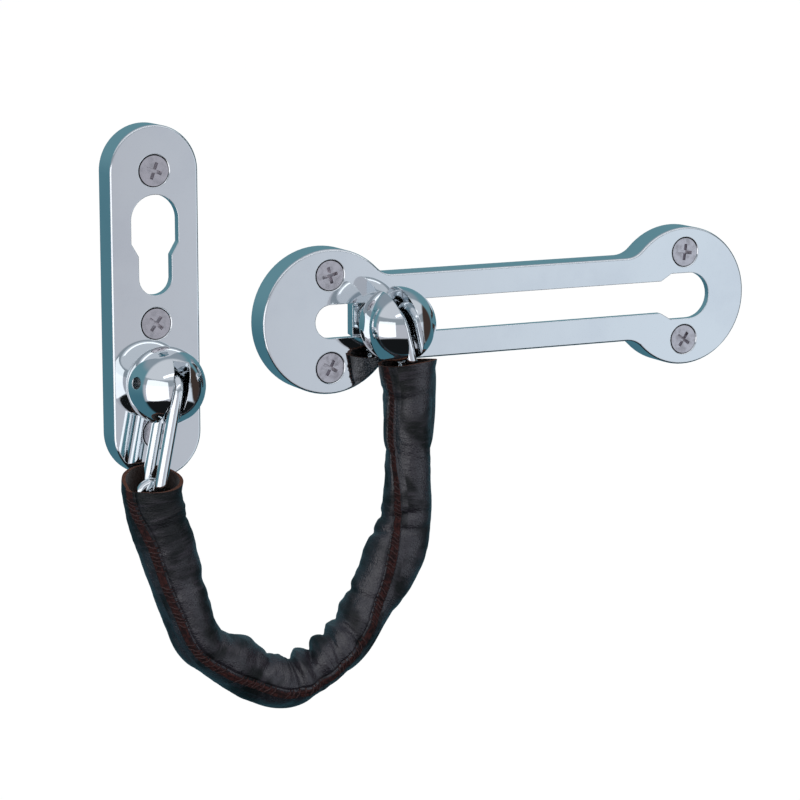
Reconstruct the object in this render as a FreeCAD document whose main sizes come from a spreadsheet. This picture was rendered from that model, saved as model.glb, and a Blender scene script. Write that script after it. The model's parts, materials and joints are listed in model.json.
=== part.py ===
"""Door chain guard: a keeper plate with a swivelling ball, a leather-sleeved chain and a slotted track.

Row frame, in millimetres: +X runs along the track towards its keyhole, +Z is up and -Y faces the
person who locks the door. The plates' backs lie in y = 0, against the door and its frame, and the
origin is the middle of the four screws that hold the track.

The chain hangs in one plane, chain_out in front of the plates. Every link turns on the link before
it about an axis along Y, through the middle of a crown wire of the upright links, which lie across
that plane.
"""

import FreeCAD, Part

import math
import os

from FreeCAD import Placement, Rotation, Vector

doc = FreeCAD.newDocument("door_chain_guard")
sheet = doc.addObject("Spreadsheet::Sheet", "Sizes")

SIZES = {
    # plates
    "plate_depth": 8.0,
    "track_wall": 2.0,
    "keeper_wall": 2.6,
    "skirt_wall": 2.0,
    "disc_spacing": 111.9,
    "disc_radius": 19.8,
    "bar_height": 23.8,
    "bar_fillet": 7.0,
    "slot_height": 9.2,
    "slot_left": -60.4,
    "keeper_x": -106.2,
    "keeper_half": 12.25,
    "keeper_top": 55.0,
    "keeper_bottom": -38.4,
    "edge_round": 0.6,
    # keyholes: a bulb, straight sides, and shoulders down to the slot
    "bulb_radius": 6.6,
    "bulb_sides": 6.0,
    "shoulder": 3.4,
    "track_bulb_x": 57.5,
    "keeper_bulb_z": 30.2,
    "keeper_slot_end": 15.0,
    # screws
    "screw_pitch": 25.2,
    "screw_head": 4.0,
    "screw_head_below": 0.1,
    "screw_shank": 1.45,
    "screw_thread": 2.0,
    "screw_thread_start": 0.5,
    "screw_length": 25.0,
    "screw_tip": 5.0,
    "screw_point": 0.2,
    "sink_radius": 4.4,
    "screw_bore": 2.15,
    "boss_radius": 4.4,
    "recess_width": 0.95,
    "recess_span": 4.6,
    "recess_depth": 1.7,
    "keeper_screw_top": 43.0,
    "keeper_screw_mid": 2.9,
    "keeper_screw_low": -26.3,
    # balls and their fittings
    "ball_radius": 10.4,
    "ball_slot": 4.4,
    "anchor_slot_roof": 7.4,
    "knob_slot_roof": 11.4,
    "slot_back": 3.1,
    "cross_pin": 1.6,
    "cross_pin_half": 8.2,
    "anchor_z": -12.6,
    "anchor_out": 6.2,
    "spigot_radius": 3.7,
    "knob_x": -41.0,
    "knob_z": -0.3,
    "knob_out": 10.6,
    "neck_radius": 4.1,
    "head_radius": 6.2,
    "head_thick": 3.2,
    "head_tail": 7.2,
    "head_bulb": 1.6,
    "head_play": 0.4,
    "fixing_screw": 2.0,
    "fixing_head": 3.4,
    "fixing_head_thick": 2.0,
    "washer_radius": 6.5,
    "washer_thick": 1.2,
    "swivel_play": 0.3,
    "spigot_play": 0.08,
    "held_play": 0.02,
    "knob_stand_off": 1.25,
    # chain and sleeve
    "chain_out": 9.5,
    "wire": 3.0,
    "link_inside": 15.4,
    "link_gap": 4.6,
    "shackle_wire": 3.2,
    "shackle_gap": 5.8,
    "shackle_reach": 28.7,
    "knob_link_reach": 19.0,
    "ring_wire": 2.4,
    "ring_gap": 7.2,
    "ring_slack": 2.6,
    "crown_play": 0.15,
    "pin_play": 0.1,
    "sleeve_radius": 7.1,
    "sleeve_bore": 6.1,
    "mouth_radius": 8.0,
    "mouth_bore": 7.1,
    "knob_mouth_radius": 8.4,
    "knob_mouth_bore": 7.4,
    "knob_mouth_shift": 1.2,
    # how far a tool reaches past the face that it cuts, and a joined piece into its neighbour
    "overshoot": 1.0,
}

# The direction of each piece of the chain at rest, in degrees from +X towards +Z: the anchor's
# shackle, the eleven links in the sleeve, and the knob's own link.
DIRECTIONS = [258.5, 284.5, 286.5, 290.5, 323.5, 342.5, 389.0, 414.0, 421.5, 436.0, 450.0, 445.0, 464.0]
MOUTH_LENGTH = 7.0  # how far the sleeve reaches past the last hinge at each end
KNOB_LINK_DIP = 2.5  # how far below the last hinge the sleeve is already wide enough for the knob's link
MORE_TURN = 4.0  # degrees that a joint can turn beyond its rest angle before the sleeve pieces meet
JOINT_GAP = 0.3

for row, (name, value) in enumerate(SIZES.items(), start=1):
    sheet.set(f"A{row}", name)
    sheet.set(f"B{row}", str(value))
    sheet.setAlias(f"B{row}", name)
doc.recompute()


def size(name):
    """A driving dimension, as the sheet holds it."""
    return float(sheet.get(name))


def cell(text):
    """An expression with every driving dimension in it written as a reference to the sheet."""
    for name in sorted(SIZES, key=len, reverse=True):
        text = text.replace(f"[{name}]", f"Sizes.{name}")
    return text


def bind(item, **formulas):
    """Bind properties of an object to expressions; a double underscore stands for a dot."""
    for name, formula in formulas.items():
        item.setExpression(name.replace("__", "."), cell(formula))
    return item


TO_BACK = Rotation(Vector(1, 0, 0), -90)  # a cylinder's or cone's axis, turned to point along +Y
ALONG_X = Rotation(Vector(0, 1, 0), 90)


def cylinder(name, radius, height, x="0", y="0", z="0", turn=TO_BACK):
    item = doc.addObject("Part::Cylinder", name)
    item.Placement = Placement(Vector(0, 0, 0), turn)
    return bind(item, Radius=radius, Height=height, Placement__Base__x=x, Placement__Base__y=y,
                Placement__Base__z=z)


def cone(name, front, back, height, x="0", y="0", z="0"):
    item = doc.addObject("Part::Cone", name)
    item.Placement = Placement(Vector(0, 0, 0), TO_BACK)
    return bind(item, Radius1=front, Radius2=back, Height=height, Placement__Base__x=x,
                Placement__Base__y=y, Placement__Base__z=z)


def box(name, low, spans):
    """A box from its low corner and its three spans, all expressions."""
    item = doc.addObject("Part::Box", name)
    return bind(item, Length=spans[0], Width=spans[1], Height=spans[2], Placement__Base__x=low[0],
                Placement__Base__y=low[1], Placement__Base__z=low[2])


def fuse(name, items):
    item = doc.addObject("Part::MultiFuse", name)
    item.Shapes = items
    item.Refine = True
    return item


def cut(name, base, tools):
    """The base with every tool cut away."""
    tool = tools[0] if len(tools) == 1 else fuse(name + "_tools", tools)
    item = doc.addObject("Part::Cut", name)
    item.Base = base
    item.Tool = tool
    item.Refine = True
    return item


def compound(name, items):
    item = doc.addObject("Part::Compound", name)
    item.Links = items
    return item


def rounded(name, base, radius_name, keep):
    """The base with the edges that keep() picks rounded."""
    doc.recompute()
    item = doc.addObject("Part::Fillet", name)
    item.Base = base
    radius = size(radius_name)
    chosen = [n for n, edge in enumerate(base.Shape.Edges, start=1) if keep(edge)]
    item.Edges = [(n, radius, radius) for n in chosen]
    return item


def profile_pad(name, outline, front, thickness):
    """A flat piece: an outline of (x, z) points and arcs, closed, from y = front and thickness deep.

    An outline entry is a point, or a pair of points for an arc through the first to the second.
    """
    edges = []
    here = Vector(outline[0][0], front, outline[0][1])
    start = here
    for entry in outline[1:] + [outline[0]]:
        if isinstance(entry[0], tuple):
            middle, end = (Vector(p[0], front, p[1]) for p in entry)
            edges.append(Part.Arc(here, middle, end).toShape())
        else:
            end = Vector(entry[0], front, entry[1])
            if (end - here).Length > 1e-6:
                edges.append(Part.LineSegment(here, end).toShape())
        here = end
    if (here - start).Length > 1e-6:
        raise ValueError(name + " isn't closed")
    item = doc.addObject("Part::Feature", name)
    item.Shape = Part.Face(Part.Wire(edges)).extrude(Vector(0, thickness, 0))
    return item


def keyhole_outline(tail, at, upright=False):
    """A keyhole: its bulb, straight sides, shoulders, and a slot that runs off to -X.

    tail is how far the slot reaches from the bulb's centre; upright turns -X down to -Z.
    """
    bulb = size("bulb_radius")
    half = size("slot_height") / 2
    sides, shoulder = size("bulb_sides"), size("bulb_sides") + size("shoulder")
    flat = [
        (0, bulb),
        ((bulb, 0), (0, -bulb)),
        (-sides, -bulb),
        (-shoulder, -half),
        (-tail + half, -half),
        ((-tail, 0), (-tail + half, half)),
        (-shoulder, half),
        (-sides, bulb),
    ]

    def place(point):
        x, z = (point[1], point[0]) if upright else point
        return (at[0] + x, at[1] + z)

    return [tuple(place(p) for p in e) if isinstance(e[0], tuple) else place(e) for e in flat]


# ---------------------------------------------------------------- plates

THROUGH_FRONT = "-[plate_depth] - [overshoot]"  # where a cut right through a plate starts
THROUGH_LENGTH = "[plate_depth] + 2 * [overshoot]"


def keyhole_tool(name, outline):
    """The tool that cuts a keyhole right through a plate."""
    overshoot = size("overshoot")
    return profile_pad(name, outline, -size("plate_depth") - overshoot, size("plate_depth") + 2 * overshoot)


def screw_holes(prefix, places):
    """Countersunk holes with bosses behind them, at the given (x, z) expressions."""
    bosses, holes = [], []
    for n, (x, z) in enumerate(places, start=1):
        bosses.append(cylinder(f"{prefix}_boss_{n}", "[boss_radius]", "[plate_depth] - [overshoot]", x,
                               "[overshoot] - [plate_depth]", z))
        holes.append(cylinder(f"{prefix}_bore_{n}", "[screw_bore]", THROUGH_LENGTH, x, THROUGH_FRONT, z))
        holes.append(cone(f"{prefix}_sink_{n}", "[sink_radius]", "[screw_bore]",
                          "[sink_radius] - [screw_bore]", x, "-[plate_depth]", z))
    return bosses, holes


def front_rim(edge):
    """True for an edge that lies in the plates' front face."""
    bounds = edge.BoundBox
    front = -size("plate_depth")
    return abs(bounds.YMin - front) < 1e-6 and abs(bounds.YMax - front) < 1e-6


def dumbbell(name, inset, depth, front):
    """Two discs joined by a bar, with a concave round where they meet."""
    trim = f" - {inset}"
    discs = [
        cylinder(f"{name}_disc_{side}", "[disc_radius]" + trim, depth, sign + "[disc_spacing] / 2", front)
        for side, sign in (("left", "-"), ("right", ""))
    ]
    bar = box(f"{name}_bar", ("-[disc_spacing] / 2", front, f"-[bar_height] / 2 + {inset}"),
              ("[disc_spacing]", depth, f"[bar_height] - 2 * ({inset})"))
    whole = fuse(f"{name}_blank", discs + [bar])
    middle = size("disc_spacing") / 2
    reach = size("disc_radius")

    def corner(edge):
        box_ = edge.BoundBox
        along_y = box_.XLength < 1e-6 and box_.ZLength < 1e-6
        return along_y and abs(box_.XMin) < middle - 0.5 * reach and abs(box_.ZMin) > 1

    return rounded(name, whole, "bar_fillet", corner)


SCREW_PLACES_TRACK = [
    (f"{x}[disc_spacing] / 2", f"{z}[screw_pitch] / 2") for x in ("-", "") for z in ("-", "")
]
SCREW_PLACES_KEEPER = [
    ("[keeper_x]", f"[keeper_screw_{place}]") for place in ("top", "mid", "low")
]


def make_track_plate():
    shell = rounded("track_shell", dumbbell("track_outer", "0", "[plate_depth]", "-[plate_depth]"),
                    "edge_round", front_rim)
    hollow = dumbbell("track_inner", "[skirt_wall]", "[plate_depth] - [track_wall]",
                      "-[plate_depth] + [track_wall]")
    bosses, holes = screw_holes("track", SCREW_PLACES_TRACK)
    tail = size("track_bulb_x") - size("slot_left")
    slot = keyhole_tool("track_slot", keyhole_outline(tail, at=(size("track_bulb_x"), 0.0)))
    body = fuse("track_with_bosses", [cut("track_hollowed", shell, [hollow])] + bosses)
    return cut("track_plate", body, holes + [slot])


def stadium(name, inset, depth, front):
    """An upright plate with round ends."""
    middles = {"top": "[keeper_top] - [keeper_half]", "low": "[keeper_bottom] + [keeper_half]"}
    ends = [
        cylinder(f"{name}_{end}", f"[keeper_half] - {inset}", depth, "[keeper_x]", front, place)
        for end, place in middles.items()
    ]
    middle = box(f"{name}_middle",
                 (f"[keeper_x] - [keeper_half] + {inset}", front, "[keeper_bottom] + [keeper_half]"),
                 (f"2 * [keeper_half] - 2 * ({inset})", depth,
                  "[keeper_top] - [keeper_bottom] - 2 * [keeper_half]"))
    return fuse(name, ends + [middle])


def make_keeper_plate():
    shell = rounded("keeper_shell", stadium("keeper_outer", "0", "[plate_depth]", "-[plate_depth]"),
                    "edge_round", front_rim)
    hollow = stadium("keeper_inner", "[skirt_wall]", "[plate_depth] - [keeper_wall]",
                     "-[plate_depth] + [keeper_wall]")
    bosses, holes = screw_holes("keeper", SCREW_PLACES_KEEPER)
    tail = size("keeper_bulb_z") - size("keeper_slot_end") + size("slot_height") / 2
    bulb = (size("keeper_x"), size("keeper_bulb_z"))
    keyhole = keyhole_tool("keeper_keyhole", keyhole_outline(tail, at=bulb, upright=True))
    pivot = cylinder("keeper_pivot_hole", "[spigot_radius] + [spigot_play]", THROUGH_LENGTH, "[keeper_x]",
                     THROUGH_FRONT, "[anchor_z]")
    body = fuse("keeper_with_bosses", [cut("keeper_hollowed", shell, [hollow])] + bosses)
    return cut("keeper_plate", body, holes + [keyhole, pivot])


# ---------------------------------------------------------------- screws


def wood_screw(name, x, z, spin):
    """A countersunk wood screw with a cross recess, its head just below the plate's face.

    Its shank is plain as far as the door, and there the thread's outer size begins.
    """
    front = "-[plate_depth] + [screw_head_below]"
    tip_start = front + " + [screw_length] - [screw_tip]"
    head = cone(f"{name}_head", "[screw_head]", "[screw_shank]", "[screw_head] - [screw_shank]", x, front, z)
    shank = cylinder(f"{name}_shank", "[screw_shank]", "[plate_depth]", x, front + " + [overshoot]", z)
    thread = cylinder(f"{name}_thread", "[screw_thread]", f"{tip_start} - [screw_thread_start]", x,
                      "[screw_thread_start]", z)
    tip = cone(f"{name}_tip", "[screw_thread]", "[screw_point]", "[screw_tip]", x, tip_start, z)
    body = fuse(f"{name}_body", [head, shank, thread, tip])
    arms = []
    for arm in range(2):
        bar = box(f"{name}_arm_{arm}", ("-[recess_span] / 2", "0", "-[recess_width] / 2"),
                  ("[recess_span]", "[recess_depth] + [overshoot]", "[recess_width]"))
        arms.append(bar)
    cross = fuse(f"{name}_cross", arms)
    arms[1].setExpression("Length", cell("[recess_width]"))
    arms[1].setExpression("Height", cell("[recess_span]"))
    arms[1].setExpression("Placement.Base.x", cell("-[recess_width] / 2"))
    arms[1].setExpression("Placement.Base.z", cell("-[recess_span] / 2"))
    cross.Placement = Placement(Vector(0, 0, 0), Rotation(Vector(0, 1, 0), spin))
    bind(cross, Placement__Base__x=x, Placement__Base__y=front + " - [overshoot]", Placement__Base__z=z)
    return cut(name, body, [cross])


def make_screws(label, places, spins):
    screws = [wood_screw(f"{label}_{n}", x, z, spin) for n, ((x, z), spin) in enumerate(zip(places, spins))]
    return compound(label, screws)


# ---------------------------------------------------------------- balls


CROSS_PIN_FRONT = "-[plate_depth] - [chain_out]"  # how far out the cross pins and the chain's plane lie
BALL_FLOOR = "-[plate_depth] - [slot_back]"  # the back wall of a ball's slot
WASHER_FRONT = "-[plate_depth] + [keeper_wall] + [swivel_play]"
HEAD_FRONT = "-[plate_depth] + [track_wall] + [head_play]"  # the front of the slide's head


def ball_blank(name, out, flat, roof):
    """A ball on the Y axis, and the tools that give it a flat back, a slot and a cross pin hole.

    out is how far its middle stands in front of the plate, flat where its flat back lies, and roof
    how far above the middle the slot ends. The slot opens to the front and below, and the knob's is
    open above as well.
    """
    centre = f"-[plate_depth] - [{out}]"
    corner = "-[ball_radius] - [overshoot]"
    whole = "2 * [ball_radius] + 2 * [overshoot]"
    body = doc.addObject("Part::Sphere", f"{name}_sphere")
    bind(body, Radius="[ball_radius]", Placement__Base__y=centre)
    flat_cut = box(f"{name}_flat", (corner, flat, corner), (whole, whole, whole))
    slot_front = f"{centre} - [ball_radius] - [overshoot]"
    slot = box(f"{name}_slot", ("-[ball_slot] / 2", slot_front, corner),
               ("[ball_slot]", f"{BALL_FLOOR} - ({slot_front})", f"[{roof}] - ({corner})"))
    hole = cylinder(f"{name}_pin_hole", "[cross_pin] + [held_play]", whole, corner, CROSS_PIN_FRONT, "0",
                    ALONG_X)
    return body, [flat_cut, slot, hole]


def turned(item, x, z, lean):
    """Turn a finished piece about Y by lean degrees and set it on its swivel's axis."""
    item.Placement = Placement(Vector(size(x), 0, size(z)), Rotation(Vector(0, 1, 0), lean))
    return bind(item, Placement__Base__x=f"[{x}]", Placement__Base__z=f"[{z}]")


def cross_pin(label, x, z, lean):
    pin = cylinder(label + "_bar", "[cross_pin]", "2 * [cross_pin_half]", "-[cross_pin_half]",
                   CROSS_PIN_FRONT, "0", ALONG_X)
    return turned(compound(label, [pin]), x, z, lean)


def ball_bore(name, back):
    """The hole from a ball's slot to its back, for the screw that holds it."""
    front = f"{BALL_FLOOR} - [overshoot]"
    return cylinder(name, "[fixing_screw] + [held_play]", f"{back} - ({front})", "0", front)


def make_anchor():
    place = ("keeper_x", "anchor_z", 270 - DIRECTIONS[0])
    flat = "-[plate_depth] - [swivel_play]"
    sphere, cuts = ball_blank("anchor", "anchor_out", flat, "anchor_slot_roof")
    spigot = cylinder("anchor_spigot", "[spigot_radius]", f"{WASHER_FRONT} - ({flat}) + [overshoot] / 2", "0",
                      f"{flat} - [overshoot] / 2")
    ball = fuse("anchor_with_spigot", [cut("anchor_cut", sphere, cuts), spigot])
    turned(cut("anchor_ball", ball, [ball_bore("anchor_bore", f"{WASHER_FRONT} + [overshoot]")]), *place)
    cross_pin("anchor_pin", *place)

    ring = cylinder("washer_blank", "[washer_radius]", "[washer_thick]", "0", WASHER_FRONT)
    hole = cylinder("washer_hole", "[fixing_screw] + [held_play]", "[washer_thick] + 2 * [overshoot]", "0",
                    f"{WASHER_FRONT} - [overshoot]")
    turned(cut("anchor_washer", ring, [hole]), *place)

    washer_back = f"{WASHER_FRONT} + [washer_thick]"
    head = cylinder("anchor_screw_head", "[fixing_head]", "[fixing_head_thick]", "0", washer_back)
    shank = cylinder("anchor_screw_shank", "[fixing_screw]", f"{washer_back} - ({BALL_FLOOR})", "0",
                     f"{BALL_FLOOR} + [overshoot]")
    turned(fuse("anchor_screw", [head, shank]), *place)


def head_outline():
    """The slide's head: it passes through a keyhole, and its tail keeps it behind the slot."""
    radius = size("head_radius")
    half = size("slot_height") / 2 - size("head_play")
    bulb = size("head_bulb")
    shoulder = bulb - size("bulb_sides")
    tail = -size("head_tail")
    return [
        (bulb, radius),
        ((bulb + radius, 0), (bulb, -radius)),
        (shoulder, -radius),
        (tail, -half),
        (tail, half),
        (shoulder, radius),
    ]


def make_knob():
    flat = "-[plate_depth] - [knob_stand_off]"
    head_back = f"{HEAD_FRONT} + [head_thick]"
    screw_head_front = f"{head_back} - [fixing_head_thick] - [held_play]"
    plate = profile_pad("head_plate", head_outline(),
                        -size("plate_depth") + size("track_wall") + size("head_play"), size("head_thick"))
    neck_front = f"{flat} + [swivel_play]"
    neck = cylinder("head_neck", "[neck_radius]", f"{HEAD_FRONT} - ({neck_front}) + [overshoot]", "0",
                    neck_front)
    bore_front = f"{neck_front} - [overshoot]"
    bore = cylinder("head_bore", "[fixing_screw] + [spigot_play]",
                    f"{head_back} - ({bore_front}) + [overshoot]", "0", bore_front)
    recess = cylinder("head_recess", "[fixing_head] + [swivel_play]", "[fixing_head_thick] + [overshoot]",
                      "0", f"{screw_head_front} - [held_play]")
    turned(cut("slide_head", fuse("head_blank", [plate, neck]), [bore, recess]), "knob_x", "knob_z", 0)

    place = ("knob_x", "knob_z", 450 - DIRECTIONS[-1])
    sphere, cuts = ball_blank("knob", "knob_out", flat, "knob_slot_roof")
    turned(cut("knob_ball", sphere, cuts + [ball_bore("knob_bore", f"{flat} + [overshoot]")]), *place)
    cross_pin("knob_pin", *place)

    head = cylinder("knob_screw_head", "[fixing_head]", "[fixing_head_thick]", "0", screw_head_front)
    shank = cylinder("knob_screw_shank", "[fixing_screw]",
                     f"{screw_head_front} - ({BALL_FLOOR}) + [overshoot]", "0", BALL_FLOOR)
    turned(fuse("knob_screw", [head, shank]), *place)


# ---------------------------------------------------------------- chain


def oval_link(label, wire, gap, start, end, upright):
    """A welded oval link along local X: the middle of its wire runs from start to end.

    gap is the clear width inside. An upright link lies across the chain's plane, in local X-Y.
    """
    crown = f"(({gap}) + ({wire})) / 2"
    parts = []
    for side, centre, turn in (("a", f"{start} + {crown}", 90), ("b", f"{end} - {crown}", -90)):
        bend = doc.addObject("Part::Torus", f"{label}_crown_{side}")
        flat = Rotation(Vector(0, 0, 1), turn)
        tip = Rotation() if upright else Rotation(Vector(1, 0, 0), 90)
        bend.Placement = Placement(Vector(0, 0, 0), tip.multiply(flat))
        bend.Angle3 = 180
        bind(bend, Radius1=crown, Radius2=f"({wire}) / 2", Placement__Base__x=centre)
        parts.append(bend)
    for side, sign in (("c", ""), ("d", "-")):
        across = {"y" if upright else "z": f"{sign}({crown})"}
        parts.append(cylinder(f"{label}_leg_{side}", f"({wire}) / 2", f"({end}) - ({start}) - 2 * {crown}",
                              f"({start}) + {crown}", across.get("y", "0"), across.get("z", "0"), ALONG_X))
    return fuse(label, parts)


def laid(item, point, direction):
    """Lay a piece made along local X in the chain's plane, from a point and along a direction."""
    item.Placement = Placement(Vector(point[0], -size("plate_depth") - size("chain_out"), point[1]),
                               Rotation(Vector(0, 1, 0), -direction))
    return item


def step(point, direction, length):
    angle = math.radians(direction)
    return (point[0] + length * math.cos(angle), point[1] + length * math.sin(angle))


def tube(label, radius, start, end, aside="0"):
    """A solid rod along local X, from start to end, which are numbers."""
    return cylinder(label, radius, str(end - start), str(start), "0", aside, ALONG_X)


def sleeve_piece(label, start, end, radius="[sleeve_radius]", bore="[sleeve_bore]"):
    """A length of the leather tube along local X."""
    overshoot = size("overshoot")
    skin = tube(label + "_skin", radius, start, end)
    hollow = tube(label + "_hollow", bore, start - overshoot, end + overshoot)
    return cut(label, skin, [hollow])


def sleeve_end(label, start, step_at, end):
    """The last length of the tube: from step_at on it is wider and stands over to the knob's link."""
    overshoot = size("overshoot")
    shift = "[knob_mouth_shift]"
    skin = [
        tube(label + "_narrow", "[sleeve_radius]", start, step_at),
        tube(label + "_wide", "[knob_mouth_radius]", step_at - overshoot, end, shift),
    ]
    hollow = [
        tube(label + "_bore", "[sleeve_bore]", start - overshoot, step_at + overshoot),
        tube(label + "_mouth", "[knob_mouth_bore]", step_at, end + overshoot, shift),
    ]
    return cut(label, fuse(label + "_blank", skin), hollow)


def joint_clearance(turn):
    """How far a sleeve piece stays back from a hinge that turns by this many degrees."""
    return size("sleeve_radius") * math.tan(math.radians((abs(turn) + MORE_TURN) / 2)) + JOINT_GAP


def chain_piece(n, last):
    """Piece n of the chain in the sleeve, along local X from its hinge, and its length to the next.

    Even links are upright, and their crowns are the hinges. Odd links lie in the chain's plane and
    reach past the hinges round those crowns. The last piece is the thinner end ring, which goes
    round the knob's link with play.
    """
    if n % 2 == 0:
        return oval_link(f"chain_link_{n:02d}", "[wire]", "[link_gap]", "0", "[link_inside] + [wire]",
                         True), size("link_inside") + size("wire")
    wire_before = "[shackle_wire]" if n == 1 else "[wire]"
    length = "[link_inside] - [wire]"
    if n < last:
        link = oval_link(f"chain_link_{n:02d}", "[wire]", "[link_gap]",
                         f"-{wire_before} / 2 - [crown_play] - [wire] / 2",
                         f"{length} + [wire] / 2 + [crown_play] + [wire] / 2", False)
    else:
        link = oval_link("end_ring", "[ring_wire]", "[ring_gap]",
                         f"-{wire_before} / 2 - [crown_play] - [ring_wire] / 2",
                         f"{length} + [shackle_wire] / 2 + [ring_slack] + [ring_wire] / 2", False)
    return link, size("link_inside") - size("wire")


def make_chain():
    """Everything from the anchor's shackle to the knob's link; returns the hinges' (x, z)."""
    anchor = (size("keeper_x"), size("anchor_z"))
    start = "-[cross_pin] - [shackle_wire] / 2 - [pin_play]"
    shackle = oval_link("anchor_shackle", "[shackle_wire]", "[shackle_gap]", start, "[shackle_reach]", True)
    laid(shackle, anchor, DIRECTIONS[0])
    hinge = step(anchor, DIRECTIONS[0], size("shackle_reach"))
    hinges = [hinge]
    turns = [b - a for a, b in zip(DIRECTIONS, DIRECTIONS[1:])]

    mouth = sleeve_piece("sleeve_mouth", -MOUTH_LENGTH, -joint_clearance(turns[0]), "[mouth_radius]",
                         "[mouth_bore]")
    laid(mouth, hinge, DIRECTIONS[0])

    last = len(DIRECTIONS) - 2
    for n in range(1, last + 1):
        link, length = chain_piece(n, last)
        laid(link, hinge, DIRECTIONS[n])
        low = joint_clearance(turns[n - 1])
        if n < last:
            skin = sleeve_piece(f"sleeve_{n:02d}", low, length - joint_clearance(turns[n]))
        else:
            skin = sleeve_end(f"sleeve_{n:02d}", low, length - KNOB_LINK_DIP, length + MOUTH_LENGTH)
        laid(skin, hinge, DIRECTIONS[n])
        hinge = step(hinge, DIRECTIONS[n], length)
        hinges.append(hinge)

    knob = (size("knob_x"), size("knob_z"))
    link = oval_link("knob_link", "[shackle_wire]", "[shackle_gap]", start, "[knob_link_reach]", True)
    laid(link, knob, DIRECTIONS[-1] + 180)
    return hinges


# ---------------------------------------------------------------- the whole


make_track_plate()
make_keeper_plate()
make_screws("track_screws", SCREW_PLACES_TRACK, (28, -14, 35, 8))
make_screws("keeper_screws", SCREW_PLACES_KEEPER, (20, 38, -10))
make_anchor()
make_knob()
HINGES = make_chain()
doc.recompute()

LINKS = [f"chain_link_{n:02d}" for n in range(1, 11)] + ["end_ring"]
SLEEVES = ["sleeve_mouth"] + [f"sleeve_{n:02d}" for n in range(1, 12)]
NODES = [
    "track_plate", "keeper_plate", "track_screws", "keeper_screws",
    "anchor_ball", "anchor_pin", "anchor_washer", "anchor_screw", "anchor_shackle",
    "slide_head", "knob_ball", "knob_pin", "knob_screw", "knob_link",
] + LINKS + SLEEVES

for item in doc.Objects:
    if "Invalid" in item.State or "Error" in item.State:
        raise RuntimeError(f"{item.Label} failed: {item.State}")

os.makedirs("parts", exist_ok=True)
for name in NODES:
    shape = doc.getObject(name).Shape
    if shape.isNull() or not shape.isValid() or not shape.Solids:
        raise RuntimeError(name + " has no valid solid")
    shape.exportStep(f"parts/{name}.step")
    print(f"{name:16s} solids {len(shape.Solids)}  volume {shape.Volume:9.1f} mm3")
for n, (x, z) in enumerate(HINGES, start=1):
    print(f"hinge {n:2d}: x {x:8.3f}  z {z:8.3f}")
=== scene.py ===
"""Door chain guard: chrome keeper, track and balls from the frame, and a leather sleeve on the chain.

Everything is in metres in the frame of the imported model: +X along the track, +Z up, -Y to the front.
"""

import json
import math

import bpy
import numpy as np
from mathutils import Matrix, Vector, noise


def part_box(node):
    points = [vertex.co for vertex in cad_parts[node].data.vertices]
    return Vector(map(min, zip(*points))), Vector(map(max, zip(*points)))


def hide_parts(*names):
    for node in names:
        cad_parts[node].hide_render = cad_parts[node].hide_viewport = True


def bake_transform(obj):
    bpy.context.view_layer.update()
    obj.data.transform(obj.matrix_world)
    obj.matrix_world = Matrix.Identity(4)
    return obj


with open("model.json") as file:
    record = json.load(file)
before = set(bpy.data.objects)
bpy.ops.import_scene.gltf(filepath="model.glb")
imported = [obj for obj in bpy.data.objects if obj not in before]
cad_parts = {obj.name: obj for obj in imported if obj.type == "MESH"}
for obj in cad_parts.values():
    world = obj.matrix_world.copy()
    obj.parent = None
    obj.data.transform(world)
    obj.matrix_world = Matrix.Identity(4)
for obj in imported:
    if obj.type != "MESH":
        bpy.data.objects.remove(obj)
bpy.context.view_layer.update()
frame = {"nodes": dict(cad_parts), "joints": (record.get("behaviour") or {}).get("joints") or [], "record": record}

MM = 0.001


def add_object(name, data):
    made = bpy.data.objects.new(name, data)
    bpy.context.scene.collection.objects.link(made)
    return made


# ---------------------------------------------------------------- camera

CAMERA_TARGET = Vector((-0.03502, -0.008, -0.02307))
CAMERA_AZIMUTH = math.radians(-26.391)
CAMERA_ELEVATION = math.radians(10.247)
CAMERA_DISTANCE = 0.78824
CAMERA_LENS = 129.37


def make_camera():
    data = bpy.data.cameras.new("camera")
    data.lens = CAMERA_LENS
    data.sensor_width = 36
    data.clip_start = 0.01
    camera = add_object("camera", data)
    flat = math.cos(CAMERA_ELEVATION)
    away = Vector((
        math.sin(CAMERA_AZIMUTH) * flat,
        -math.cos(CAMERA_AZIMUTH) * flat,
        math.sin(CAMERA_ELEVATION),
    ))
    camera.location = CAMERA_TARGET + away * CAMERA_DISTANCE
    camera.rotation_euler = (-away).to_track_quat("-Z", "Y").to_euler()
    bpy.context.scene.camera = camera


# ---------------------------------------------------------------- node helpers


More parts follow.
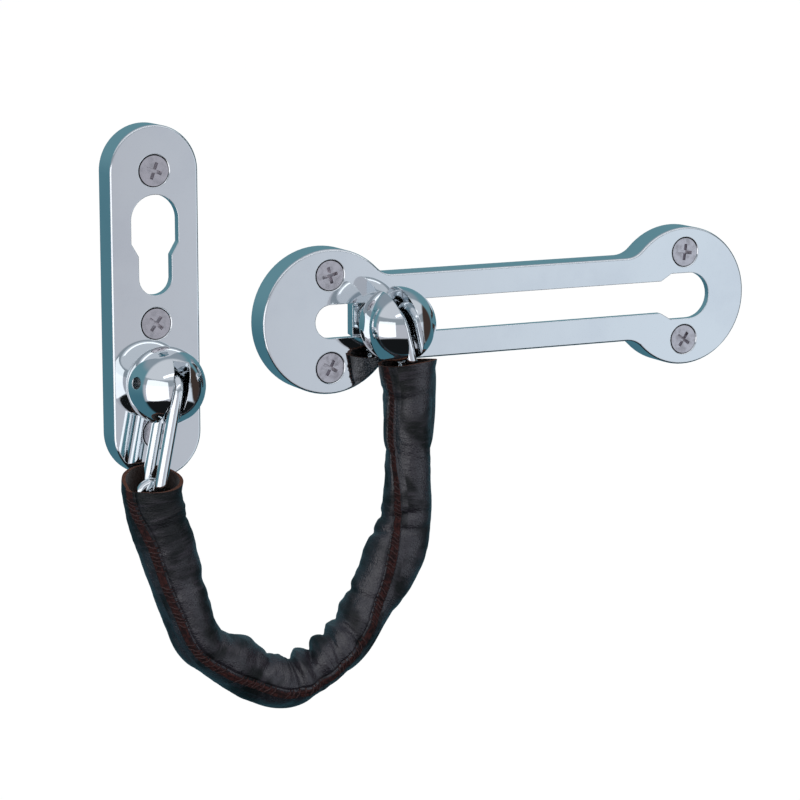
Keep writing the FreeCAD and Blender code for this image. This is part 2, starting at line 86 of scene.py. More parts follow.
class Shader:
    """A short way to build a node tree."""

    def __init__(self, tree):
        self.tree = tree
        tree.nodes.clear()

    def add(self, kind, inputs=None, **settings):
        node = self.tree.nodes.new(kind)
        for name, value in settings.items():
            setattr(node, name, value)
        for name, value in (inputs or {}).items():
            self.set(node, name, value)
        return node

    def set(self, node, name, value):
        socket = node.inputs[name]
        if isinstance(value, bpy.types.NodeSocket):
            self.tree.links.new(value, socket)
        else:
            socket.default_value = value

    def math(self, operation, a, b=0.0):
        return self.add("ShaderNodeMath", {0: a, 1: b}, operation=operation).outputs[0]

    def mix(self, factor, a, b):
        node = self.add("ShaderNodeMix", data_type="RGBA")
        self.set(node, 0, factor)
        self.set(node, 6, a)
        self.set(node, 7, b)
        return node.outputs[2]

    def ramp(self, factor, low, high, to_low=0.0, to_high=1.0):
        """A smooth step from to_low, where the factor is low, to to_high, where it is high."""
        node = self.add(
            "ShaderNodeMapRange",
            {"Value": factor, "From Min": low, "From Max": high, "To Min": to_low, "To Max": to_high},
            interpolation_type="SMOOTHSTEP",
        )
        return node.outputs["Result"]

    def noise(self, where, scale, detail=2.0, roughness=0.5):
        node = self.add("ShaderNodeTexNoise", {"Scale": scale, "Detail": detail, "Roughness": roughness})
        if where is not None:
            self.set(node, "Vector", where)
        return node.outputs["Fac"]

    def place(self):
        """Where a point is in the object, in metres."""
        return self.add("ShaderNodeTexCoord").outputs["Object"]

    def stretched(self, where, scale):
        return self.add("ShaderNodeMapping", {"Vector": where, "Scale": scale}).outputs["Vector"]

    def bump(self, height, distance, strength=1.0, under=None):
        node = self.add("ShaderNodeBump", {"Height": height, "Distance": distance, "Strength": strength})
        if under is not None:
            self.set(node, "Normal", under)
        return node.outputs["Normal"]


def material(name, build):
    made = bpy.data.materials.new(name)
    made.use_nodes = True
    shader = Shader(made.node_tree)
    surface = shader.add("ShaderNodeBsdfPrincipled")
    output = shader.add("ShaderNodeOutputMaterial")
    made.node_tree.links.new(surface.outputs[0], output.inputs["Surface"])
    build(shader, surface)
    return made


# ---------------------------------------------------------------- materials


def chrome(shader, surface):
    """Bright chrome plate: faint polishing haze, a few smudges, a slight wave, and rounded edges."""
    where = shader.place()
    smudge = shader.ramp(shader.noise(where, 45, 4, 0.6), 0.45, 0.75)
    haze = shader.noise(shader.stretched(where, (1, 1, 9)), 900, 2)
    rough = shader.math("ADD", shader.math("MULTIPLY", smudge, 0.035), shader.math("MULTIPLY", haze, 0.03))
    wave = shader.noise(where, 140, 1)
    surface.inputs["Metallic"].default_value = 1.0
    colour = shader.mix(smudge, (0.83, 0.86, 0.88, 1), (0.78, 0.81, 0.84, 1))
    shader.set(surface, "Base Color", colour)
    shader.set(surface, "Roughness", shader.math("ADD", rough, 0.02))
    edges = shader.add("ShaderNodeBevel", {"Radius": 0.35 * MM}, samples=6).outputs["Normal"]
    shader.set(surface, "Normal", shader.bump(wave, 0.02 * MM, 0.35, under=edges))


def nickel(shader, surface):
    """The screws: nickel plate, duller than the chrome, with faint driver scuffs."""
    where = shader.place()
    scuff = shader.ramp(shader.noise(where, 700, 2, 0.5), 0.35, 0.75)
    grain = shader.noise(shader.stretched(where, (1, 0.2, 1)), 2500, 2)
    surface.inputs["Metallic"].default_value = 1.0
    shader.set(surface, "Base Color", shader.mix(scuff, (0.62, 0.59, 0.62, 1), (0.50, 0.475, 0.50, 1)))
    shader.set(surface, "Roughness", shader.ramp(scuff, 0, 1, 0.2, 0.34))
    shader.set(surface, "Normal", shader.bump(grain, 0.006 * MM, 0.4))


def steel_painted_shade(shader, surface):
    """Turned steel inside: pins, washer and fixing screws, its colour painted near-black as the shade of the holes
    the pins sit in.
    """
    where = shader.place()
    lines = shader.noise(shader.stretched(where, (0.3, 6, 0.3)), 1400, 2)
    stain = shader.ramp(shader.noise(where, 500, 3), 0.4, 0.9)
    surface.inputs["Metallic"].default_value = 1.0
    # painted shade: the near-black base colour stands in for the shade in the pins' holes; the stain mask varies
    # it at random
    shader.set(surface, "Base Color", shader.mix(stain, (0.050, 0.052, 0.055, 1), (0.032, 0.031, 0.030, 1)))
    shader.set(surface, "Roughness", shader.ramp(lines, 0.3, 0.7, 0.30, 0.48))
    shader.set(surface, "Normal", shader.bump(lines, 0.008 * MM, 0.4))


def leather(shader, surface):
    """Black grained leather: fine creases across the strip, pores, and dull and shiny panels, the shiny panels and
    the crests of the creases painted lighter as painted sheen and highlight.
    """
    flat = shader.add("ShaderNodeTexCoord").outputs["UV"]
    along = shader.add("ShaderNodeSeparateXYZ", {"Vector": flat}).outputs["Y"]
    cells = shader.add("ShaderNodeTexVoronoi", {"Vector": flat, "Scale": 120.0}, feature="DISTANCE_TO_EDGE")
    grain = shader.ramp(cells.outputs["Distance"], 0.0, 0.22)
    creases = shader.noise(shader.stretched(flat, (0.22, 1, 1)), 95, 4, 0.62)
    deep = shader.noise(shader.stretched(flat, (0.3, 1, 1)), 24, 3, 0.6)
    pores = shader.noise(flat, 480, 2)
    # sheen_patches: random panels that are shinier (lower roughness, more specular) and are also painted a
    # lighter, purplish tone as painted sheen
    sheen_patches = shader.ramp(shader.noise(shader.stretched(flat, (0.8, 0.8, 1)), 10, 2, 0.5), 0.36, 0.56)
    # within 19 mm of the anchor's mouth the patches are scaled down to a quarter
    below_mouth = shader.ramp(along, 0.19, 0.23)
    sheen_patches = shader.math("MULTIPLY", sheen_patches, shader.ramp(below_mouth, 0, 1, 0.25, 1.0))
    height = shader.math("ADD", shader.math("MULTIPLY", grain, 0.3), shader.math("MULTIPLY", creases, 1.2))
    height = shader.math("ADD", height, shader.math("MULTIPLY", pores, 0.2))
    height = shader.math("ADD", height, shader.math("MULTIPLY", deep, 2.2))
    # the leather's own near-black tone, mixed with the lighter purplish painted sheen of the patches
    dark = shader.mix(sheen_patches, (0.0042, 0.0058, 0.0060, 1), (0.0222, 0.0196, 0.0262, 1))
    # painted highlight: the crests of the creases and deep folds are painted a lighter, purplish tone
    crest_highlight = shader.ramp(shader.math("ADD", creases, deep), 0.95, 1.25)
    shader.set(surface, "Base Color", shader.mix(crest_highlight, dark, (0.030, 0.0265, 0.0335, 1)))
    shader.set(surface, "Roughness", shader.ramp(sheen_patches, 0, 1, 0.44, 0.26))
    shader.set(surface, "Specular IOR Level", shader.ramp(sheen_patches, 0, 1, 0.28, 0.75))
    shader.set(surface, "Normal", shader.bump(height, 0.16 * MM, 0.9))


def raw_edge(shader, surface):
    """The cut edge of the leather: red-brown fibres between two dark skins."""
    where = shader.place()
    fibres = shader.noise(where, 2600, 4, 0.7)
    spots = shader.ramp(shader.noise(where, 800, 2), 0.4, 0.62)
    brown = shader.mix(fibres, (0.018, 0.006, 0.0055, 1), (0.070, 0.020, 0.017, 1))
    shader.set(surface, "Base Color", shader.mix(spots, brown, (0.014, 0.006, 0.0065, 1)))
    surface.inputs["Roughness"].default_value = 0.85
    surface.inputs["Specular IOR Level"].default_value = 0.25
    shader.set(surface, "Normal", shader.bump(fibres, 0.2 * MM, 0.9))


def cut_rim(shader, surface):
    """The rims of the sleeve's two mouths: freshly cut, orange-brown."""
    where = shader.place()
    fibres = shader.noise(where, 2200, 4, 0.7)
    shader.set(surface, "Base Color", shader.mix(fibres, (0.045, 0.016, 0.010, 1), (0.150, 0.060, 0.036, 1)))
    surface.inputs["Roughness"].default_value = 0.8
    surface.inputs["Specular IOR Level"].default_value = 0.3
    shader.set(surface, "Normal", shader.bump(fibres, 0.15 * MM, 0.8))


def flesh_side(shader, surface):
    """The inside of the leather: dark brown suede."""
    where = shader.place()
    nap = shader.noise(where, 3000, 4, 0.7)
    shader.set(surface, "Base Color", shader.mix(nap, (0.008, 0.005, 0.004, 1), (0.036, 0.017, 0.012, 1)))
    surface.inputs["Roughness"].default_value = 0.95
    surface.inputs["Specular IOR Level"].default_value = 0.15
    surface.inputs["Sheen Weight"].default_value = 0.3
    shader.set(surface, "Normal", shader.bump(nap, 0.15 * MM, 0.9))


def thread(shader, surface):
    """Waxed thread, dark red-brown, twisted."""
    where = shader.place()
    twist = shader.noise(shader.stretched(where, (1, 1, 2.5)), 6000, 2)
    shader.set(surface, "Base Color", shader.mix(twist, (0.012, 0.004, 0.0045, 1), (0.055, 0.016, 0.014, 1)))
    surface.inputs["Roughness"].default_value = 0.6
    shader.set(surface, "Normal", shader.bump(twist, 0.05 * MM, 0.8))


MATERIALS = {
    "chrome": material("chrome", chrome),
    "screw": material("nickel", nickel),
    "steel": material("steel_painted_shade", steel_painted_shade),
    "leather": material("leather", leather),
    "raw_edge": material("raw_edge", raw_edge),
    "cut_rim": material("cut_rim", cut_rim),
    "flesh_side": material("flesh_side", flesh_side),
    "thread": material("thread", thread),
}


def finish_cad_nodes():
    """Every CAD node gets the material of its slot in the record."""
    slots = {part["node"]: part["material_slot"] for part in frame["record"]["subparts"]}
    for name, node in frame["nodes"].items():
        node.data.materials.clear()
        node.data.materials.append(MATERIALS[slots[name]])


# ---------------------------------------------------------------- the leather sleeve

RING_STEP = 0.6 * MM  # between rings along the sleeve
UV_UNIT = 0.1  # one unit of the sleeve's UV map, in metres of leather
SKIN = 1.0 * MM  # the leather's thickness
LEAST_SKIN = 0.8 * SKIN  # where the chain presses on it
LEAST_BORE = 3.8 * MM  # the tube never closes further than this
REACH_SPREAD = 6  # rings over which the chain's bulges are smoothed
KNOB_LINK_PLAY = 1.4 * MM  # the knob's link moves this much sideways in the sleeve's mouth
CHAIN_GAP = 0.15 * MM  # kept between the chain and the leather
GIRTH_RADIUS = 7.0 * MM  # the radius of a round tube of the same girth
LINE_SMOOTHING = 30  # rounds of smoothing of the sleeve's middle line
HALF_DEPTHS = (6.5, 8.2)  # half the sleeve's depth, out of the chain's plane, stays between these, in mm

# half the sleeve's width in the chain's plane, in mm, against the share of its length from the anchor
HALF_WIDTHS = [
    (0.0, 7.7), (0.06, 7.6), (0.12, 7.7), (0.19, 7.0), (0.24, 6.3), (0.28, 6.0), (0.33, 6.5), (0.38, 7.0),
    (0.43, 6.8), (0.48, 6.3), (0.54, 6.2), (0.60, 6.1), (0.66, 7.6), (0.71, 8.3), (0.78, 6.8), (0.83, 6.1),
    (0.92, 6.1), (0.97, 7.0), (1.0, 8.0),
]
# the radius of a round tube of the same girth there, in mm
GIRTH_RADII = [(0.0, 8.0), (0.06, 7.7), (0.16, 7.2), (0.30, 6.8), (0.90, 6.7), (0.96, 7.2), (1.0, 8.1)]
# how far the sleeve's middle lies inside the line of the hinges, in mm
SHIFTS = [
    (0.0, 0.0), (0.20, 0.2), (0.28, 0.6), (0.35, 1.0), (0.42, 1.1), (0.52, 0.9), (0.60, 0.8),
    (0.67, -0.1), (0.78, 0.0), (1.0, 0.0),
]
# where the seam lies round the sleeve, in degrees from the front towards the inside of the bend
SEAM_ANGLES = [
    (0.0, -67), (0.05, -62), (0.10, -47), (0.17, -44), (0.26, -33), (0.34, -26), (0.43, -18), (0.50, -23),
    (0.57, -14), (0.64, 8), (0.69, 25), (0.75, 42), (0.81, 52), (0.88, 68), (0.97, 66), (1.0, 72),
]
# folds on the inside of the bend: share of the length, height in mm, width in mm, and how far the
# fold runs along the sleeve, in mm, for each radian round it
FOLDS = [
    (0.345, 1.25, 3.4, 0.6), (0.392, -0.9, 1.3, 0.8), (0.425, 0.6, 2.0, -0.6), (0.462, -1.2, 1.0, 1.0),
    (0.480, 1.0, 1.6, 1.6), (0.502, -1.9, 1.1, 1.6), (0.522, 0.7, 1.3, 1.4), (0.541, -1.2, 0.8, 1.1),
    (0.560, 0.6, 1.2, 0.7), (0.578, -0.9, 0.8, 0.9), (0.604, 0.8, 1.9, 0.6), (0.632, -0.6, 1.0, -0.4),
    (0.700, 0.5, 4.5, 0.5), (0.735, -0.7, 1.1, -2.2), (0.765, -0.9, 1.2, -1.4), (0.285, -0.7, 1.6, -0.8),
    (0.190, -0.6, 2.0, 1.0), (0.125, 0.3, 2.5, 0.6), (0.090, -0.5, 1.0, 0.3), (0.066, 0.3, 1.0, -0.3),
    (0.870, -0.4, 2.4, 1.0), (0.955, -0.4, 1.0, 0.5),
]
FOLD_SPAN = 2.0  # how far round from the inside of the bend the folds reach, in radians
FOLD_WANDER = 0.5  # how far a fold wanders along the sleeve, in mm
BEND_SHARE = 0.22  # how far from the middle of the sleeve its bend reaches, as a share of the length
# noise on the leather: size in mm, height in mm, how much more in the bend, and where it is drawn from
SOFT_LUMPS = (9, 0.24, 0.2, 3.1)
WRINKLES = (2.1, 0.12, 0.24, 8.7)
FACETS = (5.5, 0.28, 0.2, 2.4)
FINE_LUMPS = (1.1, 0.05, 0.0, 5.3)
AROUND_SHARE = 0.35  # the wrinkles are this much longer round the sleeve than along it
FACET_STRETCH = (1.6, 0.45, 1.0)  # and the facets change this much faster round it, and slower along it
FACET_SHARPNESS = 0.8  # below 1, the valleys between the facets are sharper

# across the seam: distance from its middle in mm, and height above the leather in mm
SEAM_PROFILE = [
    (-3.0, 0.0), (-2.1, 0.0), (-1.4, -0.1), (-1.18, -0.02), (-1.06, 0.24), (-0.95, 0.34), (-0.65, 0.4),
    (-0.35, 0.38), (-0.12, 0.3), (0.0, 0.2), (0.12, 0.3), (0.35, 0.38), (0.65, 0.4), (0.9, 0.32),
    (1.02, 0.12), (1.14, -0.22), (1.34, -0.45), (1.6, -0.4), (1.95, -0.12), (2.4, 0.02), (3.2, 0.0),
]
RAW_BAND = 1.04  # the cut edges show this far each side of the seam's middle, in mm
PLAIN_COLUMNS = 84  # columns of faces round the rest of the sleeve
MOUTH_SET_BACK = 1.4  # how far the anchor's mouth has slipped down the chain, in mm
MOUTH_GAPE = 4.8  # how much lower it is at the front, in mm
MOUTH_LOW_SIDE = -38  # the direction of its lowest place, in degrees from the front
SEAM_NOTCH = 0.8  # how much lower still it is at the seam, in mm
SEAM_NOTCH_WIDTH = 0.3  # the width of that notch, in radians
KNOB_MOUTH_RISE = 1.1  # how much higher the knob's mouth is at the front, in mm
KNOB_MOUTH_HIGH_SIDE = -25  # the direction of its highest place, in degrees from the front
MOUTH_FADE = 14.0  # the mouths' unevenness reaches this far in, in mm


def keyed(keys, share):
    """A smooth value between keys of (share, value)."""
    at, values = zip(*sorted(keys))
    at, values = np.array(at), np.array(values, float)
    slope = np.gradient(values, at)
    k = np.clip(np.searchsorted(at, share) - 1, 0, len(at) - 2)
    width = at[k + 1] - at[k]
    t = np.clip((share - at[k]) / width, 0, 1)
    return (
        (1 + 2 * t) * (1 - t) ** 2 * values[k]
        + t * (1 - t) ** 2 * width * slope[k]
        + t * t * (3 - 2 * t) * values[k + 1]
        + t * t * (t - 1) * width * slope[k + 1]
    )


def chain_hinges():
    """The hinges of the links in the sleeve, in order from the anchor."""
    named = {joint["name"]: joint["pos_m"] for joint in frame["joints"] if joint["type"] == "hinge"}
    return [Vector(named[name]) for name in sorted(n for n in named if n.startswith("link_"))]


def sleeve_route():
    """The points that the sleeve's middle goes through: its two mouths and the hinges between."""
    hinges = chain_hinges()
    low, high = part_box("sleeve_mouth")
    first = Vector(((low.x + high.x) / 2, hinges[0].y, high.z))
    low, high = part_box("sleeve_11")
    last = Vector(((low.x + high.x) / 2, hinges[0].y, high.z))
    return [first] + hinges + [last]


def centreline(route):
    """Points every RING_STEP along a Catmull-Rom curve through the route, and each route point's place."""
    points = [2 * route[0] - route[1]] + route + [2 * route[-1] - route[-2]]
    fine, marks = [], []
    for a, b, c, d in zip(points, points[1:], points[2:], points[3:]):
        marks.append(len(fine))
        for k in range(40):
            t = k / 40
            fine.append(
                0.5 * (2 * b + (c - a) * t + (2 * a - 5 * b + 4 * c - d) * t * t
                       + (3 * b - 3 * c + d - a) * t ** 3)
            )
    fine.append(route[-1])
    marks.append(len(fine) - 1)
    fine = np.array(fine)
    along = np.r_[0, np.cumsum(np.linalg.norm(np.diff(fine, axis=0), axis=1))]
    count = round(along[-1] / RING_STEP)
    even = np.linspace(0, along[-1], count + 1)
    line = np.stack([np.interp(even, along, fine[:, axis]) for axis in range(3)], axis=1)
    return line, even, along[marks]


def surface_points(node):
    """A node's vertices, and more points along its longer edges."""
    corners = np.array([node.matrix_world @ v.co for v in node.data.vertices])
    points = [corners]
    for edge in node.data.edges:
        a, b = corners[list(edge.vertices)]
        count = int(np.linalg.norm(b - a) / RING_STEP)
        share = np.arange(1, count + 1)[:, None] / (count + 1)
        points.append(a + share * (b - a))
    return np.concatenate(points)


def smooth_along(line, rounds):
    """The line with its small kinks evened out, its ends kept."""
    for _ in range(rounds):
        line[1:-1] = (line[:-2] + 2 * line[1:-1] + line[2:]) / 4
    return line


def lumps(points, scale, seed):
    """Smooth noise from -1 to 1 at each point."""
    flat = points.reshape(-1, 3) / scale + seed
    return np.array([noise.noise(Vector(p)) for p in flat]).reshape(points.shape[:-1])


class Sleeve:
    """The whole tube as a grid: rings along it, columns round it, the seam in the middle column."""

    def __init__(self):
        line, self.along, self.marks = centreline(sleeve_route())
        line = smooth_along(line, LINE_SMOOTHING)
        self.length = self.along[-1]
        tangent = np.gradient(line, axis=0)
        self.tangent = tangent / np.linalg.norm(tangent, axis=1)[:, None]
        self.front = np.array([0.0, -1.0, 0.0])
        self.inward = np.stack([-self.tangent[:, 2], 0 * self.tangent[:, 1], self.tangent[:, 0]], axis=1)
        share = self.along / self.length
        self.line = line + self.inward * keyed(SHIFTS, share)[:, None] * MM
        half = keyed(HALF_WIDTHS, share) * MM
        least, most = HALF_DEPTHS
        deep = np.clip(2 * keyed(GIRTH_RADII, share) * MM - half, least * MM, most * MM)
        self.columns = self.column_angles()
        angle = self.angle = np.radians(keyed(SEAM_ANGLES, share))[:, None] + self.columns[None, :]
        radius = 1 / np.sqrt((np.cos(angle) / deep[:, None]) ** 2 + (np.sin(angle) / half[:, None]) ** 2)
        round_tube = self.place(radius)
        radius = radius + self.relief(round_tube, share)
        bore = np.maximum(radius - SKIN, np.maximum(self.chain_reach() + CHAIN_GAP, LEAST_BORE))
        radius = np.maximum(radius, bore + LEAST_SKIN)
        self.outer = self.place(radius + self.seam_height()[None, :])
        self.inner = self.place(bore)
        self.ragged_ends()

    def chain_reach(self):
        """How far the chain stands out from the middle of the sleeve, at each ring and column."""
        names = ["anchor_shackle", "end_ring", "knob_link"]
        names += [n for n in frame["nodes"] if n.startswith("chain_link_")]
        reach = np.zeros_like(self.angle)
        for name in names:
            points = surface_points(frame["nodes"][name])
            if name == "knob_link":
                sideways = self.inward[-1] * KNOB_LINK_PLAY
                points = np.concatenate([points - sideways, points, points + sideways])
            gaps = np.linalg.norm(points[:, None] - self.line[None], axis=2)
            ring = gaps.argmin(axis=1)
            keep = (gaps.min(axis=1) < GIRTH_RADIUS) & (ring > 0) & (ring < len(self.line) - 1)
            points, ring = points[keep], ring[keep]
            offset = points - self.line[ring]
            to_inside, to_front = (offset * self.inward[ring]).sum(axis=1), offset @ self.front
            turn = np.arctan2(to_inside, to_front)
            off = (turn[:, None] - self.angle[ring] + math.pi) % (2 * math.pi) - math.pi
            column = np.abs(off).argmin(axis=1)
            np.maximum.at(reach, (ring, column), np.hypot(to_inside, to_front))
        def average(layers):
            return sum(layers) / len(layers)

        for combine in (np.maximum.reduce, average):
            for axis, count in ((0, REACH_SPREAD), (1, REACH_SPREAD + 1)):
                layers = []
                for step in range(-count, count + 1):
                    rows = np.clip(np.arange(len(reach)) + step, 0, len(reach) - 1)
                    layers.append(reach[rows] if axis == 0 else np.roll(reach, step, axis=1))
                reach = combine(layers)
        return reach

    def column_angles(self):
        """The columns' angles from the seam: close together at the seam, even elsewhere."""
        seam = np.array([d for d, _ in SEAM_PROFILE]) * MM / GIRTH_RADIUS
        rest = np.linspace(seam[-1], 2 * math.pi + seam[0], PLAIN_COLUMNS + 1)[1:-1]
        return np.r_[seam, rest]

    def seam_height(self):
        """How high the raw seam stands above the leather, at each column."""
        height = np.zeros(len(self.columns))
        height[: len(SEAM_PROFILE)] = [h for _, h in SEAM_PROFILE]
        return height * MM

    def place(self, radius):
        """The points that lie radius away from the middle line, at every ring and column."""
        to_front, to_inside = np.cos(self.angle)[..., None], np.sin(self.angle)[..., None]
        across = to_front * self.front + to_inside * self.inward[:, None]
        return self.line[:, None] + radius[..., None] * across

    def relief(self, tube, share):
        """Folds on the inside of the bend, soft lumps over the links, and small cross wrinkles."""
        signed = (self.angle - math.pi / 2 + math.pi) % (2 * math.pi) - math.pi
        inside = np.exp(-((np.abs(signed) / FOLD_SPAN) ** 4))
        bend = np.exp(-(((share - 0.5) / BEND_SHARE) ** 2))[:, None]
        height = np.zeros_like(self.angle)
        for at, high, wide, skew in FOLDS:
            wander = FOLD_WANDER * np.sin(3 * signed + 40 * at)
            middle = at * self.length / MM + skew * signed + wander
            height += high * inside * np.exp(-(((self.along[:, None] / MM - middle) / wide) ** 2))

        def rough(kind, where, more, power=None):
            size, high, extra, seed = kind
            shape = lumps(where, size * MM, seed)
            if power is not None:
                shape = np.abs(shape) ** power
            return (high + extra * more) * shape

        round_it = AROUND_SHARE * self.angle * GIRTH_RADIUS
        strip = np.stack(np.broadcast_arrays(round_it, self.along[:, None], 0.0), axis=2)
        height += rough(SOFT_LUMPS, tube, bend)
        height += rough(WRINKLES, strip, bend * inside)
        height += rough(FACETS, strip * np.array(FACET_STRETCH), bend, FACET_SHARPNESS)
        height += rough(FINE_LUMPS, tube, bend)
        return height * MM

    def ragged_ends(self):
        """The mouths: the anchor's gapes, the knob's rises at the front, and neither is cut flat."""
        from_seam = (self.columns + math.pi) % (2 * math.pi) - math.pi
        from_low = self.angle[0] - math.radians(MOUTH_LOW_SIDE)
        at_seam = np.exp(-((from_seam / SEAM_NOTCH_WIDTH) ** 2))
        gape = MOUTH_SET_BACK + MOUTH_GAPE * (1 + np.cos(from_low)) / 2 + SEAM_NOTCH * at_seam
        wave = 0.3 + 0.25 * np.sin(self.columns + 0.6) + 0.15 * np.sin(2 * self.columns + 2.0)
        from_high = self.angle[-1] - math.radians(KNOB_MOUTH_HIGH_SIDE)
        rise = KNOB_MOUTH_RISE * ((1 + np.cos(from_high)) / 2) ** 2
        for end, sign, drop in ((0, 1, gape + wave), (-1, -1, wave - rise)):
            distance = np.abs(self.along - self.along[end]) / MM
            fade = np.clip(1 - distance / MOUTH_FADE, 0, 1)
            shift = sign * fade[:, None] * drop[None, :] * MM
            for grid in (self.outer, self.inner):
                grid += shift[..., None] * self.tangent[:, None]


def grid_normals(grid, flip):
    """Smooth normals of a grid that is closed round its columns."""
    along = np.gradient(grid, axis=0)
    around = np.roll(grid, -1, axis=1) - np.roll(grid, 1, axis=1)
    normal = np.cross(along, around)
    normal /= np.linalg.norm(normal, axis=2)[..., None]
    return -normal if flip else normal


def smooth_mesh(name, vertices, faces, materials):
    mesh = bpy.data.meshes.new(name)
    mesh.from_pydata([Vector(v) for v in vertices], [], faces)
    mesh.polygons.foreach_set("use_smooth", [True] * len(faces))
    for material_name in materials:
        mesh.materials.append(MATERIALS[material_name])
    return mesh


LEATHER, FLESH, RAW, RIM = range(4)  # the places of a section's materials


def sleeve_section(name, sleeve, first, last):
    """One closed length of the sleeve, from ring first to ring last, shaded as the whole tube is."""
    outer, inner = sleeve.outer[first : last + 1], sleeve.inner[first : last + 1]
    rings, columns = outer.shape[:2]
    vertices = np.concatenate([outer.reshape(-1, 3), inner.reshape(-1, 3)])
    inside = rings * columns
    raw = np.abs(sleeve.columns) <= RAW_BAND * MM / GIRTH_RADIUS + 1e-9
    faces, finishes = [], []
    for r in range(rings - 1):
        for c in range(columns):
            n = (c + 1) % columns
            a, b, d, e = r * columns + c, r * columns + n, (r + 1) * columns + n, (r + 1) * columns + c
            faces.append((a, e, d, b))
            finishes.append(RAW if raw[c] and raw[n] else LEATHER)
            faces.append((inside + a, inside + b, inside + d, inside + e))
            finishes.append(FLESH)
    for r, order in ((0, -1), (rings - 1, 1)):
        for c in range(columns):
            n = (c + 1) % columns
            a, b = r * columns + c, r * columns + n
            faces.append((a, inside + a, inside + b, b)[::order])
            finishes.append(RIM)
    mesh = smooth_mesh(name, vertices, faces, ("leather", "flesh_side", "raw_edge", "cut_rim"))
    mesh.polygons.foreach_set("material_index", finishes)
    layer = mesh.uv_layers.new(name="flat")
    arc = np.r_[sleeve.columns, 2 * math.pi + sleeve.columns[0]] * GIRTH_RADIUS / UV_UNIT
    along = sleeve.along[first : last + 1] / UV_UNIT
    for polygon in mesh.polygons:
        cells = [divmod(v % inside, columns) for v in polygon.vertices]
        wraps = {c for _, c in cells} == {0, columns - 1}
        for loop, (r, c) in zip(polygon.loop_indices, cells):
            layer.data[loop].uv = (arc[columns if wraps and c == 0 else c], along[r])
    smooth = np.concatenate([
        sleeve.outer_normals[first : last + 1].reshape(-1, 3),
        sleeve.inner_normals[first : last + 1].reshape(-1, 3),
    ])
    normals = []
    for polygon, finish in zip(mesh.polygons, finishes):
        for vertex in polygon.vertices:
            normals.append(polygon.normal if finish == RIM else smooth[vertex])
    mesh.normals_split_custom_set([tuple(n) for n in normals])
    return add_object(name, mesh)


STITCH_PITCH = 1.5 * MM
STITCH_RADIUS = 0.2 * MM  # half the thread's thickness
STITCH_SIDES = 6  # of the thread's section
SEAM_MARGIN = 3  # columns of the seam's profile that the stitches leave free at each side
# along a stitch, from end to end: its height over the leather and its half width, in thread radii
STITCH_HEIGHTS = [-0.9, 0.2, 0.5, 0.55, 0.55, 0.55, 0.5, 0.2, -0.9]
STITCH_WIDTHS = [0.5, 0.9, 1, 1, 1, 1, 1, 0.9, 0.5]


def stitch_mesh(name, sleeve, first, last):
    """Whip stitches of thread across the seam, between two rings, each a little different."""
    pitch, ring, steps = STITCH_PITCH, STITCH_SIDES, len(STITCH_HEIGHTS)
    columns = np.arange(SEAM_MARGIN, len(SEAM_PROFILE) - SEAM_MARGIN)
    vertices, faces = [], []
    start, stop = sleeve.along[first], sleeve.along[last]
    for k in range(3, int(sleeve.length / pitch) - 1):
        middle = (k + 0.25 * math.sin(7.3 * k)) * pitch
        if not start + pitch < middle < stop - pitch:
            continue
        lean = (0.75 + 0.3 * math.sin(3.1 * k)) * MM
        at = np.linspace(columns[0], columns[-1], steps)
        along = middle + np.linspace(-lean, lean, steps)
        row = np.interp(along, sleeve.along, np.arange(len(sleeve.along)))
        centre, up = grid_at(sleeve.outer, row, at), grid_at(sleeve.outer_normals, row, at)
        up /= np.linalg.norm(up, axis=1)[:, None]
        run = np.gradient(centre, axis=0)
        run /= np.linalg.norm(run, axis=1)[:, None]
        side = np.cross(run, up)
        depth = np.array(STITCH_HEIGHTS) * STITCH_RADIUS
        wide = np.array(STITCH_WIDTHS) * STITCH_RADIUS * (1 + 0.2 * math.sin(11.7 * k))
        base = len(vertices)
        for j in range(steps):
            for q in range(ring):
                turn = 2 * math.pi * q / ring
                offset = math.cos(turn) * side[j] + math.sin(turn) * up[j]
                vertices.append(centre[j] + up[j] * depth[j] + offset * wide[j])
        for j in range(steps - 1):
            for q in range(ring):
                n = (q + 1) % ring
                a = base + j * ring
                faces.append((a + q, a + ring + q, a + ring + n, a + n))
        faces.append(tuple(base + q for q in range(ring)))
        faces.append(tuple(base + (steps - 1) * ring + q for q in reversed(range(ring))))
    return add_object(name, smooth_mesh(name, vertices, faces, ("thread",)))


def grid_at(grid, rows, columns):
    """A grid's values between its rows and columns."""
    r = np.clip(rows.astype(int), 0, len(grid) - 2)
    c = np.clip(columns.astype(int), 0, grid.shape[1] - 2)
    v, u = (rows - r)[:, None], (columns - c)[:, None]
    low = grid[r, c] * (1 - u) + grid[r, c + 1] * u
    high = grid[r + 1, c] * (1 - u) + grid[r + 1, c + 1] * u
    return low * (1 - v) + high * v


def make_sleeve():
    """The sleeve, cut in the middle of each link so that every section spans one hinge."""
    sleeve = Sleeve()
    sleeve.outer_normals = grid_normals(sleeve.outer, False)
    sleeve.inner_normals = grid_normals(sleeve.inner, True)
    middles = (sleeve.marks[1:-2] + sleeve.marks[2:-1]) / 2
    cuts = [0] + [int(np.argmin(np.abs(sleeve.along - m))) for m in middles] + [len(sleeve.along) - 1]
    hinges = chain_hinges()
    nodes = [["sleeve_mouth"]] + [[f"sleeve_{n:02d}"] for n in range(1, 10)] + [["sleeve_10", "sleeve_11"]]
    for k, hinge in enumerate(hinges):
        first, last = cuts[k], cuts[k + 1]
        piece = sleeve_section(f"leather_sleeve_{k + 1:02d}", sleeve, first, last)
        stitches = stitch_mesh(f"sleeve_stitches_{k + 1:02d}", sleeve, first, last)
        for item in (piece, stitches):
            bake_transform(item)
        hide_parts(*nodes[k])


# ---------------------------------------------------------------- stage and light


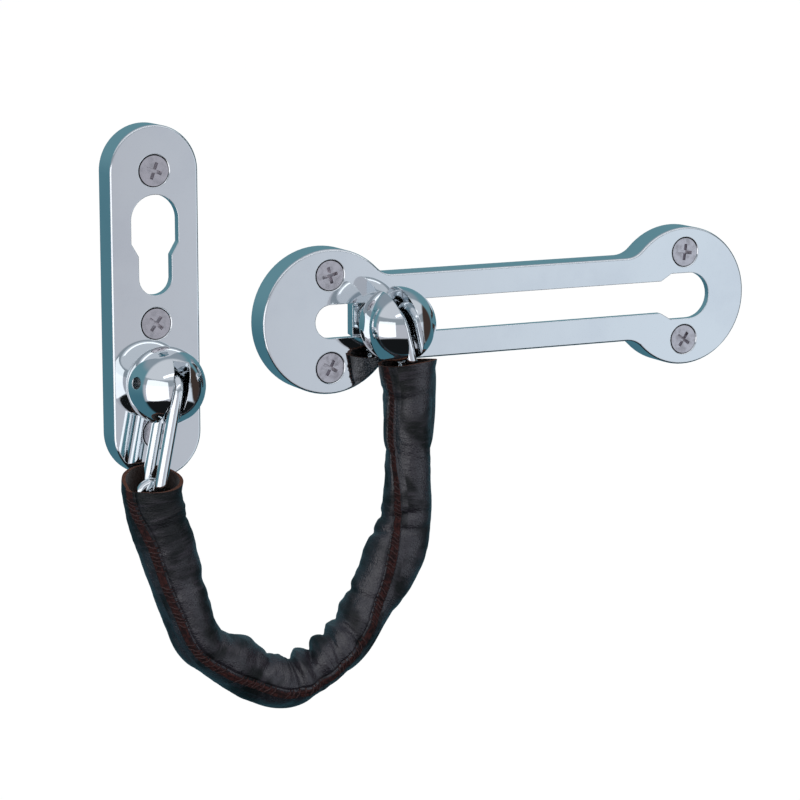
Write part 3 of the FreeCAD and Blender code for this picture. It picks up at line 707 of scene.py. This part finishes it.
def make_stage():
    """A pale floor well below, and a soft studio: a pale front, a teal room behind, dark below."""
    bpy.ops.mesh.primitive_plane_add(size=40, location=(0, 0, -0.17))
    floor = bpy.context.object
    floor.name = "floor"

    def pale(shader, surface):
        surface.inputs["Base Color"].default_value = (0.06, 0.06, 0.06, 1)
        surface.inputs["Roughness"].default_value = 1.0
        surface.inputs["Specular IOR Level"].default_value = 0.0
        surface.inputs["Emission Color"].default_value = (1, 1, 1, 1)
        surface.inputs["Emission Strength"].default_value = 0.98

    floor.data.materials.append(material("floor", pale))
    floor.visible_glossy = False
    floor.visible_diffuse = False

    world = bpy.data.worlds.new("studio")
    bpy.context.scene.world = world
    world.use_nodes = True
    shader = Shader(world.node_tree)
    way = shader.add("ShaderNodeTexCoord").outputs["Generated"]
    split = shader.add("ShaderNodeSeparateXYZ", {"Vector": way})
    x, y, z = (split.outputs[axis] for axis in "XYZ")
    wall = shader.mix(shader.ramp(x, 0.30, 0.54), (0.497, 0.507, 0.556, 1), (0.700, 0.775, 0.860, 1))
    front = shader.mix(shader.ramp(z, -0.58, -0.52), (0.008, 0.009, 0.010, 1), wall)
    front = shader.mix(shader.ramp(z, 0.10, 0.16), front, (0.30, 0.34, 0.38, 1))
    front = shader.mix(shader.ramp(z, 0.40, 0.46), front, (0.62, 0.65, 0.70, 1))
    front = shader.mix(shader.ramp(x, 0.80, 0.86), front, (0.05, 0.035, 0.03, 1))
    back = shader.mix(shader.ramp(z, -0.4, 0.25), (0.060, 0.165, 0.215, 1), (0.13, 0.27, 0.32, 1))
    back = shader.mix(shader.ramp(z, 0.55, 0.8), back, (0.27, 0.32, 0.37, 1))
    room = shader.mix(shader.ramp(y, -0.05, 0.1), front, back)
    ray = shader.add("ShaderNodeLightPath")
    seen = shader.mix(ray.outputs["Is Camera Ray"], room, (1, 1, 1, 1))
    background = shader.add("ShaderNodeBackground", {"Color": seen, "Strength": 1.0})
    output = shader.add("ShaderNodeOutputWorld")
    world.node_tree.links.new(background.outputs[0], output.inputs["Surface"])


def area_light(name, place, aim, size, power, colour=(1, 1, 1)):
    data = bpy.data.lights.new(name, "AREA")
    data.shape = "RECTANGLE"
    data.size, data.size_y = size
    data.energy = power
    data.color = colour
    light = add_object(name, data)
    light.location = place
    light.rotation_euler = (Vector(aim) - Vector(place)).to_track_quat("-Z", "Y").to_euler()
    light.visible_camera = False
    return light


def make_lights():
    aim = (-0.05, -0.01, -0.03)
    key = area_light("key", (0.35, -1.0, 1.0), aim, (1.5, 0.9), 6.5)
    key.visible_glossy = False
    area_light("strip", (0.10, -0.9, 0.75), aim, (1.6, 0.16), 0.75)
    area_light("card", (-0.215, -0.125, -0.025), (-0.07, -0.018, -0.005), (0.20, 0.165), 0.085)


make_camera()
finish_cad_nodes()
make_sleeve()
make_stage()
make_lights()
bpy.context.scene.view_settings.view_transform = "Standard"
